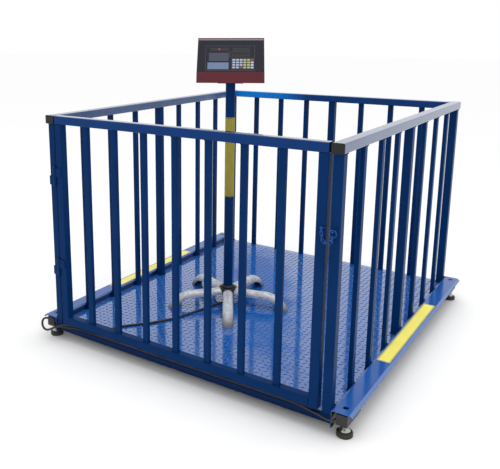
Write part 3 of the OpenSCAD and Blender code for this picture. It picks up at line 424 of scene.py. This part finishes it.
# The junction box: a grey moulded box with its lid under the left wing, a green summing board
# in it and black nylon glands for the leads. Four screws hold the lid.
# Injection-moulded ABS: an even mid grey, matt. Its spark texture is drawn coarser than life to show.
box_plastic = mottled("moulded_grey_abs", {"IOR": 1.5}, grain=(420, 2), tones=("#5c6063", "#73777a"),
                      dull=(0.45, 0.65), relief=(0.2, 0.0003))
dress(box_plastic, "junction_box", "junction_box_lid")

# Green solder mask over copper tracks: a satin green with paler track lines.
solder_mask, tree, shader, place = start_material("green_solder_mask", {"IOR": 1.5, "Roughness": 0.35})
trace = add(tree, "TexVoronoi", {"Scale": 180.0}, {"Vector": (place, "Object")}, distance="MANHATTAN")
tone = add(tree, "Mix", {base: hue("#0f4a24"), over: hue("#2d7a44")}, {by: (trace, 0)}, data_type="RGBA")
bump = add(tree, "Bump", {"Strength": 0.2, "Distance": 0.0002}, {"Height": (trace, 0)})
plug(shader, {"Base Color": (tone, mixed), "Normal": (bump, 0)})
dress(solder_mask, "summing_board", "main_board")

# Moulded nylon: a soft black with a low, broad shine.
black_nylon = mottled("moulded_black_nylon", {"IOR": 1.4}, grain=(260, 3), tones=("#0a0a0b", "#1b1a19"),
                      dull=(0.4, 0.6), relief=(0.15, 0.0004))
dress(black_nylon, "cable_glands", "rail_end_plugs", "stand_hub")


def screw_head(bm, seat, size):
    """A pan head with a dark cross, in millimetres, its seat on a frame's origin and its head along Z."""
    rise, crown = 0.34 * size, 0.36 * size
    slot_length, slot_width, slot_rise = 0.56, 0.13, 0.04
    made = bmesh.ops.create_cone(bm, cap_ends=True, segments=16, radius1=size / 2, radius2=crown,
                                 depth=rise)["verts"]
    bmesh.ops.translate(bm, vec=(0, 0, rise / 2), verts=made)
    for wide, deep in ((slot_length, slot_width), (slot_width, slot_length)):
        slot = bmesh.ops.create_cube(bm, size=size)["verts"]
        bmesh.ops.scale(bm, vec=(wide, deep, slot_rise), verts=slot)
        bmesh.ops.translate(bm, vec=(0, 0, rise), verts=slot)
        for f in {f for v in slot for f in v.link_faces}:
            f.material_index = 1
        made += slot
    bmesh.ops.scale(bm, vec=(mm, mm, mm), verts=made)
    bmesh.ops.transform(bm, matrix=seat, verts=made)


low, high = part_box("junction_box_lid")
lid_screw_inset, lid_screw_size = 7 * mm, 6
screws = bmesh.new()
for y in (low.y + lid_screw_inset, high.y - lid_screw_inset):
    for z in (low.z + lid_screw_inset, high.z - lid_screw_inset):
        seat = Matrix.Translation((low.x, y, z)) @ Matrix.Rotation(math.radians(-90), 4, "Y")
        screw_head(screws, seat, lid_screw_size)
lid_screws = keep_piece("lid_screws", screws, zinc, black_oxide)
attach(lid_screws, "crate")

# The fence: welded square and flat steel tube on three sides, sprayed in navy gloss enamel.
# Every bar is closed with short weld beads at the rail and at its foot, painted over.
# Sprayed enamel on tube, weathered: deep navy, a weak shine and a fine orange peel.
tube_enamel, tree, shader, place = start_material(
    "tube_navy_enamel", {"IOR": 1.45, "Specular IOR Level": 0.05})
cloud = add(tree, "TexNoise", {"Scale": 4.5, "Detail": 4.0, "Roughness": 0.6}, {"Vector": (place, "Object")})
tone = add(tree, "Mix", {base: hue("#022552"), over: hue("#073164")}, {by: (cloud, 0)}, data_type="RGBA")
dust = add(tree, "TexNoise", {"Scale": 90.0, "Detail": 5.0, "Roughness": 0.7}, {"Vector": (place, "Object")})
speck = add(tree, "MapRange", {"From Min": 0.64, "From Max": 0.86, "To Max": 0.08}, {"Value": (dust, 0)})
dusty = add(tree, "Mix", {over: hue("#5c7394")}, {by: (speck, 0), base: (tone, mixed)}, data_type="RGBA")
dull = add(tree, "MapRange", {"To Min": 0.16, "To Max": 0.34}, {"Value": (dust, 0)})
peel = add(tree, "TexNoise", {"Scale": 260.0, "Detail": 1.0}, {"Vector": (place, "Object")})
bump = add(tree, "Bump", {"Strength": 0.07, "Distance": 0.0006}, {"Height": (peel, 0)})
plug(shader, {"Base Color": (dusty, mixed), "Roughness": (dull, 0), "Normal": (bump, 0)})
dress(tube_enamel, "front_left_post", "front_right_post", "rear_left_post", "rear_right_post",
      "left_mid_post", "right_mid_post", "rear_mid_post", "left_bars", "right_bars", "rear_bars")


def polished_enamel(name, values, cloud, tones, dull):
    """Enamel on a rail, clouded in colour by a noise of (patches per metre, detail), worn to an uneven
    shine, with a fine orange peel. Gives the material, its tree, shader, coordinates and colour."""
    made, tree, shader, place = start_material(name, values)
    cloud = add(tree, "TexNoise", {"Scale": cloud[0], "Detail": cloud[1], "Roughness": 0.6},
                {"Vector": (place, "Object")})
    tone = add(tree, "Mix", {base: hue(tones[0]), over: hue(tones[1])}, {by: (cloud, 0)}, data_type="RGBA")
    wear_and_highlight = add(tree, "TexNoise", {"Scale": 40.0, "Detail": 4.0, "Roughness": 0.6},
                 {"Vector": (place, "Object")})
    sheen = add(tree, "MapRange", {"To Min": dull[0], "To Max": dull[1]}, {"Value": (wear_and_highlight, 0)})
    peel = add(tree, "TexNoise", {"Scale": 260.0, "Detail": 1.0}, {"Vector": (place, "Object")})
    bump = add(tree, "Bump", {"Strength": 0.06, "Distance": 0.0006}, {"Height": (peel, 0)})
    plug(shader, {"Base Color": (tone, mixed), "Roughness": (sheen, 0), "Normal": (bump, 0)})
    return made, tree, shader, place, tone


# The rails' tops are rubbed by hands and animals, so their enamel is polished there. Towards the
# rear left corner a painted pool of sunlight, a brighter azure, fades into the navy.
rail_enamel, tree, shader, place, tone = polished_enamel(
    "rail_polished_enamel", {"IOR": 1.5, "Specular IOR Level": 0.08, "Coat IOR": 1.6, "Coat Roughness": 0.12},
    cloud=(4.5, 4), tones=("#0a2d60", "#123c78"), dull=(0.12, 0.3))
sunlit_middle = (-520 * mm, 865 * mm, 1140 * mm)
away = add(tree, "VectorMath", {1: sunlit_middle}, {0: (place, "Object")}, operation="DISTANCE")
sunlit_patch = add(tree, "MapRange", {"From Min": 0.14, "From Max": 0.36, "To Min": 1.0, "To Max": 0.0},
             {"Value": (away, 1)})
azure = add(tree, "Mix", {over: hue("#0f74c6")}, {by: (sunlit_patch, 0), base: (tone, mixed)}, data_type="RGBA")
facing = add(tree, "SeparateXYZ", links={0: (place, "Normal")})
topside = add(tree, "MapRange", {"From Min": 0.3, "From Max": 0.7}, {"Value": (facing, "Z")})
plug(shader, {"Base Color": (azure, mixed), "Coat Weight": (topside, 0)})
dress(rail_enamel, "rear_top_rail")

# Animals rub along the side rails, so these are polished all round and mirror the sky.
side_enamel, *_ = polished_enamel(
    "side_rail_polished_enamel", {"IOR": 1.5, "Coat Weight": 0.75, "Coat IOR": 1.5, "Coat Roughness": 0.2},
    cloud=(6, 5), tones=("#163a68", "#22497c"), dull=(0.15, 0.35))
dress(side_enamel, "left_top_rail", "right_top_rail")


def weld_bead(bm, start, end, thick):
    """A row of overlapping, uneven blobs between two points in millimetres, as a weld solidifies."""
    start, end = Vector(start) * mm, Vector(end) * mm
    blob_pitch, unevenness = 0.45 * thick * mm, 0.12
    steps = max(3, round((end - start).length / blob_pitch))
    for k in range(steps + 1):
        swell = 1 + unevenness * math.sin(2.4 * k + start.x * 90 + start.y * 70)
        blob = Matrix.Translation(start.lerp(end, k / steps)) @ Matrix.Scale(thick / 2 * mm * swell, 4)
        bmesh.ops.create_icosphere(bm, subdivisions=1, radius=1, matrix=blob)


def keep_smooth_piece(name, bm, *materials):
    """Makes a piece at the origin from a complete bmesh, with a smooth skin."""
    made = keep_piece(name, bm, *materials)
    for polygon in made.data.polygons:
        polygon.use_smooth = True
    return made


# Places in millimetres: the weld lines at the rails' undersides, on the wings and on the deck, the
# outer and inner lines of the side bars, and the bars' places from the middle of each side.
thin_bead, post_bead, wing_bead, wing_post_bead = 5, 6, 6.5, 7
rail_line, wing_line, deck_line, deck_edge_line = 1118.6, 117, 87.5, 87
outer_line, inner_line, wing_corner, post_inner_line = 746.5, 723.6, 747, 703.4
bar_ends, bar_half, bar_edge, post_half = (728, 743), 13, 16.5, 17
mid_y, side_pitch, post_reach = 10, 211.25, 845
rear_pitch, rear_lines = 181.25, (853.6, 876.4)
bar_places = (-3, -2, -1, 1, 2, 3)
beads = bmesh.new()
for side in (-1, 1):
    for i in bar_places:
        y = mid_y + side_pitch * i
        for x, z, half, thick in ((outer_line, rail_line, bar_half, thin_bead),
                                  (inner_line, rail_line, bar_half, thin_bead),
                                  (wing_corner, wing_line, bar_half + 1, wing_bead),
                                  (inner_line, deck_line, bar_half, thin_bead)):
            weld_bead(beads, (side * x, y - half, z), (side * x, y + half, z), thick)
        for end in (y - bar_edge, y + bar_edge):
            weld_bead(beads, (side * bar_ends[0], end, deck_edge_line),
                      (side * bar_ends[1], end, deck_edge_line), thin_bead)
    for y in (mid_y - post_reach, mid_y, mid_y + post_reach):
        for x, z, half, thick in ((wing_corner, wing_line, post_half + 1, wing_post_bead),
                                  (post_inner_line, deck_line, post_half, post_bead),
                                  (outer_line, rail_line, post_half, thin_bead)):
            weld_bead(beads, (side * x, y - half, z), (side * x, y + half, z), thick)
for i in bar_places:
    x = rear_pitch * i
    for y in rear_lines:
        for z in (rail_line, deck_line):
            weld_bead(beads, (x - bar_half, y, z), (x + bar_half, y, z), thin_bead)
fence_welds = keep_smooth_piece("fence_welds", beads, tube_enamel)
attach(fence_welds, "crate")

# The gate: two stiles, a top and a bottom rail and seven bars of the same tube, welded flush,
# hung on two barrel hinges with turned pins, and held shut by a chain and ring on a round peg.
dress(tube_enamel, "gate_hinge_stile", "gate_latch_stile", "gate_bottom_rail", "gate_bars",
      "gate_hinge_knuckles", "post_hinge_knuckles")
dress(rail_enamel, "gate_top_rail")
# Enamel on chain: dull navy, with painted glints of bright blue in spots.
chain_enamel, tree, shader, place = start_material(
    "chain_blue_enamel", {"IOR": 1.5, "Specular IOR Level": 0.3})
glint_noise = add(tree, "TexNoise", {"Scale": 120.0, "Detail": 3.0}, {"Vector": (place, "Object")})
wear_and_glint = add(tree, "MapRange", {"From Min": 0.35, "From Max": 0.65}, {"Value": (glint_noise, 0)})
tone = add(tree, "Mix", {base: hue("#07306a"), over: hue("#1a56a6")}, {by: (wear_and_glint, 0)}, data_type="RGBA")
dull = add(tree, "MapRange", {"To Min": 0.25, "To Max": 0.45}, {"Value": (glint_noise, 0)})
plug(shader, {"Base Color": (tone, mixed), "Roughness": (dull, 0)})
dress(chain_enamel, "latch_staple", "latch_chain", "latch_peg")

gate_mid_x, gate_pitch, gate_lines, gate_foot_line = -1, 168, (-856.4, -833.6), 141.4
beads = bmesh.new()
for i in range(-3, 4):
    x = gate_mid_x + gate_pitch * i
    for y in gate_lines:
        for z in (rail_line, gate_foot_line):
            weld_bead(beads, (x - bar_half, y, z), (x + bar_half, y, z), thin_bead)
gate_welds = keep_smooth_piece("gate_welds", beads, tube_enamel)
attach(gate_welds, "gate")

# The stand: five pressed steel legs in silver paint on a black nylon hub, which holds the navy
# pole. The pole carries a bare yellow vinyl label with a ruled border, wrapped round its front.
# Aluminium paint over pressed steel: pale grey, satin, worn in darker blotches.
silver_paint, tree, shader, place = start_material("silver_paint", {"IOR": 1.5, "Metallic": 0.25})
cloud = add(tree, "TexNoise", {"Scale": 38.0, "Detail": 6.0, "Roughness": 0.7}, {"Vector": (place, "Object")})
wear_and_glint = add(tree, "MapRange", {"From Min": 0.36, "From Max": 0.64}, {"Value": (cloud, 0)})
tone = add(tree, "Mix", {base: hue("#9c9fa6"), over: hue("#ccd0d8")}, {by: (wear_and_glint, 0)}, data_type="RGBA")
# The toes are scuffed down to brown primer by hooves.
spot = add(tree, "SeparateXYZ", links={0: (place, "Object")})
toe = add(tree, "MapRange", {"From Min": 0.092, "From Max": 0.14, "To Min": 1.5, "To Max": 0.0},
          {"Value": (spot, "Z")})
toe = add(tree, "Math", links={0: (toe, 0), 1: (cloud, 0)}, operation="MULTIPLY")
scuffed = add(tree, "Mix", {over: hue("#4a3a30")}, {by: (toe, 0), base: (tone, mixed)}, data_type="RGBA")
fleck = add(tree, "TexNoise", {"Scale": 380.0, "Detail": 2.0}, {"Vector": (place, "Object")})
dull = add(tree, "MapRange", {"To Min": 0.3, "To Max": 0.5}, {"Value": (fleck, 0)})
bump = add(tree, "Bump", {"Strength": 0.15, "Distance": 0.0006}, {"Height": (fleck, 0)})
plug(shader, {"Base Color": (scuffed, mixed), "Roughness": (dull, 0), "Normal": (bump, 0)})
dress(silver_paint, "stand_legs")
dress(tube_enamel, "pole", "pole_top_plate")

# Painted shade: the pole's label vinyl in a dull ochre yellow, a shaded copy of the wing labels' yellow.
shaded_vinyl = mottled("label_vinyl_painted_shade", {"IOR": 1.4, "Roughness": 0.45}, grain=(16, 3),
                    tones=("#847b24", "#9c9232"))
pole_x, pole_y, pole_radius = -165 * mm, -120 * mm, 25 * mm
pole_label_z, pole_label_turn, longest_facet = 902 * mm, math.radians(-90) + 0.45, 3 * mm
label = ruled_label(126 * mm, 424 * mm)
bmesh.ops.rotate(label, matrix=Matrix.Rotation(math.radians(90), 3, "X"), verts=label.verts)
for _ in range(2):
    across = [e for e in label.edges if abs(e.verts[0].co.x - e.verts[1].co.x) > longest_facet]
    bmesh.ops.subdivide_edges(label, edges=across, cuts=5, use_grid_fill=True)
for v in label.verts:
    out = pole_radius + label_lift - v.co.y
    turn = v.co.x / pole_radius + pole_label_turn
    v.co = Vector((pole_x + out * math.cos(turn), pole_y + out * math.sin(turn), pole_label_z + v.co.z))
pole_label = keep_smooth_piece("pole_label", label, shaded_vinyl, label_ink)
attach(pole_label, "indicator")

# The indicator: a moulded maroon case with a sloping charcoal face, a smoked display window, a
# light window and a membrane keypad, with a screwed back cover. It stands on the pole's plate.
# Moulded ABS, coloured through: an even maroon with a satin shine.
maroon_abs = mottled("moulded_maroon_abs", {"IOR": 1.35}, grain=(350, 2), tones=("#571b27", "#652430"),
                     dull=(0.3, 0.45), relief=(0.12, 0.0003))
dress(maroon_abs, "indicator_case", "indicator_back_cover")

# Screen-printed polycarbonate overlay: a matt blue-black that takes little shine.
charcoal_overlay = mottled("printed_charcoal_overlay", {"IOR": 1.3}, grain=(500, 2),
                           tones=("#1d1d27", "#292934"), dull=(0.45, 0.6), relief=(0.15, 0.0003))
dress(charcoal_overlay, "indicator_face")

# Smoked acrylic: a smooth black pane that mirrors a little of the sky.
smoked_pane = mottled("smoked_acrylic", {"IOR": 1.49, "Roughness": 0.12}, grain=(60, 2),
                      tones=("#0b0b12", "#14131b"))
dress(smoked_pane, "display_window")

# Acrylic printed from behind: a flat grey-blue under a clear shine.
light_pane = mottled("pale_blue_printed_pane", {"IOR": 1.49, "Roughness": 0.3}, grain=(40, 3),
                     tones=("#5b6d8f", "#7183a4"))
dress(light_pane, "lcd_window")

# Embossed polyester film: dark grey, satin, with a very fine grain.
membrane = mottled("membrane_polyester", {"IOR": 1.6}, grain=(600, 1), tones=("#2c2d38", "#363744"),
                   dull=(0.4, 0.55))
dress(membrane, "keypad")

# Moulded ABS of a sealed battery: plain dark grey, matt.
battery_abs = mottled("battery_grey_abs", {"IOR": 1.5, "Roughness": 0.55}, grain=(200, 2),
                      tones=("#4a4b50", "#5d5e63"))
dress(battery_abs, "backup_battery")

# Printed and raised details of the face, placed in the face's own frame: X along its foot, Y up
# the slope, Z outwards. The keys are embossed domes in four inks; the digits are unlit segments.
case_foot, case_turn, case_half_depth = 1295, math.radians(29), 71
chin_height, face_lean, face_height = 52, 52, 167
case_frame = Matrix.Translation((pole_x, pole_y, case_foot * mm)) @ Matrix.Rotation(case_turn, 4, "Z")
face_slope = math.atan2(face_lean, face_height)
face_frame = (case_frame @ Matrix.Translation(Vector((0, -case_half_depth, chin_height)) * mm)
              @ Matrix.Rotation(math.pi / 2 - face_slope, 4, "X"))


def face_block(bm, left, foot, width, height, rise, ink, lift=0, edge=0):
    """A low block on the face, in millimetres, with its upper edges rounded where an edge is given."""
    made = bmesh.ops.create_cube(bm, size=1)["verts"]
    bmesh.ops.scale(bm, vec=Vector((width, height, rise)) * mm, verts=made)
    middle = Vector((left + width / 2, foot + height / 2, lift + rise / 2)) * mm
    bmesh.ops.translate(bm, vec=middle, verts=made)
    faces = {f for v in made for f in v.link_faces}
    for f in faces:
        f.material_index = ink
    if edge:
        top = max(faces, key=lambda face: face.calc_center_median().z)
        bmesh.ops.bevel(bm, geom=list(top.edges), offset=edge * mm, segments=2, profile=0.5, affect="EDGES",
                        material=-1)


def printed_ink(name, dark, light):
    """Ink on polyester film, a little uneven."""
    return mottled(name, {"IOR": 1.55, "Roughness": 0.42}, grain=(300, 2), tones=(dark, light))


# Four key inks: pale blue for the digits, yellow-green beside them, white at the edge and two red keys.
blue_key = printed_ink("key_ink_pale_blue", "#9aa8c2", "#b4c0d4")
green_key = printed_ink("key_ink_yellow_green", "#a3a55c", "#bcbd78")
white_key = printed_ink("key_ink_white", "#b4b8c4", "#cdd0d8")
red_key = printed_ink("key_ink_red", "#8f2028", "#ab2d35")
keypad_left, keypad_foot, key_pitch_x, key_pitch_y = 7, 20, 18.5, 13
key_width, key_height, key_lift, key_rise, key_edge = 13.6, 8.1, 0.55, 0.4, 0.3
blue, green, pale, red = range(4)
column_inks, red_keys = (blue, blue, blue, green, green, pale), ((5, 3), (2, 0))
keys = bmesh.new()
for i in range(6):
    for j in range(4):
        ink = red if (i, j) in red_keys else column_inks[i]
        face_block(keys, keypad_left + (i + 0.5) * key_pitch_x - key_width / 2,
                   keypad_foot + (j + 0.5) * key_pitch_y - key_height / 2,
                   key_width, key_height, key_rise, ink, key_lift, key_edge)
bmesh.ops.transform(keys, matrix=face_frame, verts=keys.verts)
key_domes = keep_piece("key_domes", keys, blue_key, green_key, white_key, red_key)
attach(key_domes, "indicator")

# The overlay's print: grey ruled frames, brown unlit digits with red points, a paler panel above the
# light window, two dark windows along the top and a red lamp. The lamp is a lens, the rest films of ink.
ruling_ink = printed_ink("overlay_ruling_ink", "#4c4d5c", "#5b5c6c")
segment_ink = printed_ink("unlit_segment_ink", "#22161b", "#2e1c21")
panel_ink = printed_ink("overlay_panel_ink", "#2f3446", "#3a4054")
window_ink = printed_ink("overlay_window_ink", "#0c0c13", "#15151e")
lamp_red = printed_ink("lamp_lens_red", "#a81c24", "#cc2a32")
ruling, segment, panel, window, lens = range(5)
thin_film, film, thick_film, lamp_rise, lamp_edge = 0.1, 0.12, 0.15, 0.9, 0.4
print_work = bmesh.new()
ruled_frames = ((-127, 10, 247, 128), (-6.5, 80.5, 102, 29), (-117.5, 16.5, 109, 37), (5, 18, 115, 56))
rule_width = 1
for left, foot, width, height in ruled_frames:
    side_run = height - 2 * rule_width
    for a, b, w, h in ((left, foot, width, rule_width),
                       (left, foot + height - rule_width, width, rule_width),
                       (left, foot + rule_width, rule_width, side_run),
                       (left + width - rule_width, foot + rule_width, rule_width, side_run)):
        face_block(print_work, a, b, w, h, thick_film, ruling)
face_block(print_work, -110, 60, 100, 42, thin_film, panel)
face_block(print_work, -105, 112, 96, 16, film, window)
face_block(print_work, 8, 112, 88, 16, film, window)
face_block(print_work, -62, 116, 8, 8, lamp_rise, lens, edge=lamp_edge)
digit_count, digit_pitch, stroke, level_run, upright_run = 7, 13.2, 1.4, 6.6, 6.4
point_left, point_foot, point_size = 9.6, 87, 1.8
level_segments = [(1, foot, level_run, stroke) for foot in (87, 94.3, 101.6)]
upright_segments = [(left, foot, stroke, upright_run) for foot in (88, 95.6) for left in (0, 7.2)]
for d in range(digit_count):
    x = digit_pitch * d
    for a, b, w, h in level_segments + upright_segments:
        face_block(print_work, x + a, b, w, h, film, segment)
    face_block(print_work, x + point_left, point_foot, point_size, point_size, thick_film, lens)
bmesh.ops.transform(print_work, matrix=face_frame, verts=print_work.verts)
face_print = keep_piece("face_print", print_work, ruling_ink, segment_ink, panel_ink, window_ink, lamp_red)
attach(face_print, "indicator")

# The back cover's fixing: four cross-head screws in zinc-plated steel, near the corners of the
# moulded cover, driven into the case.
back_frame = (case_frame @ Matrix.Translation((0, case_half_depth * mm, 0))
              @ Matrix.Rotation(math.radians(-90), 4, "X"))
cover_screw_size, cover_screw_x, cover_screw_rows = 7, 150, (17, 133)
screws = bmesh.new()
for x in (-cover_screw_x, cover_screw_x):
    for z in cover_screw_rows:
        screw_head(screws, back_frame @ Matrix.Translation(Vector((x, -z, 0)) * mm), cover_screw_size)
cover_screws = keep_piece("cover_screws", screws, zinc, black_oxide)
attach(cover_screws, "indicator")

# The trim: a pale grey moulded strip along the top of the face, pressed in under the thin rim of
# the case.
# Moulded ABS: a plain pale grey with a satin shine.
trim_grey = mottled("trim_strip_grey", {"IOR": 1.55, "Roughness": 0.42}, grain=(300, 2),
                    tones=("#8d939e", "#a5abb5"))
strip = bmesh.new()
face_block(strip, -163, 167.5, 326, 3.4, rise=0.9, ink=0, lift=-0.3, edge=0.4)
bmesh.ops.transform(strip, matrix=face_frame, verts=strip.verts)
face_trim = keep_piece("face_trim", strip, trim_grey)
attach(face_trim, "indicator")
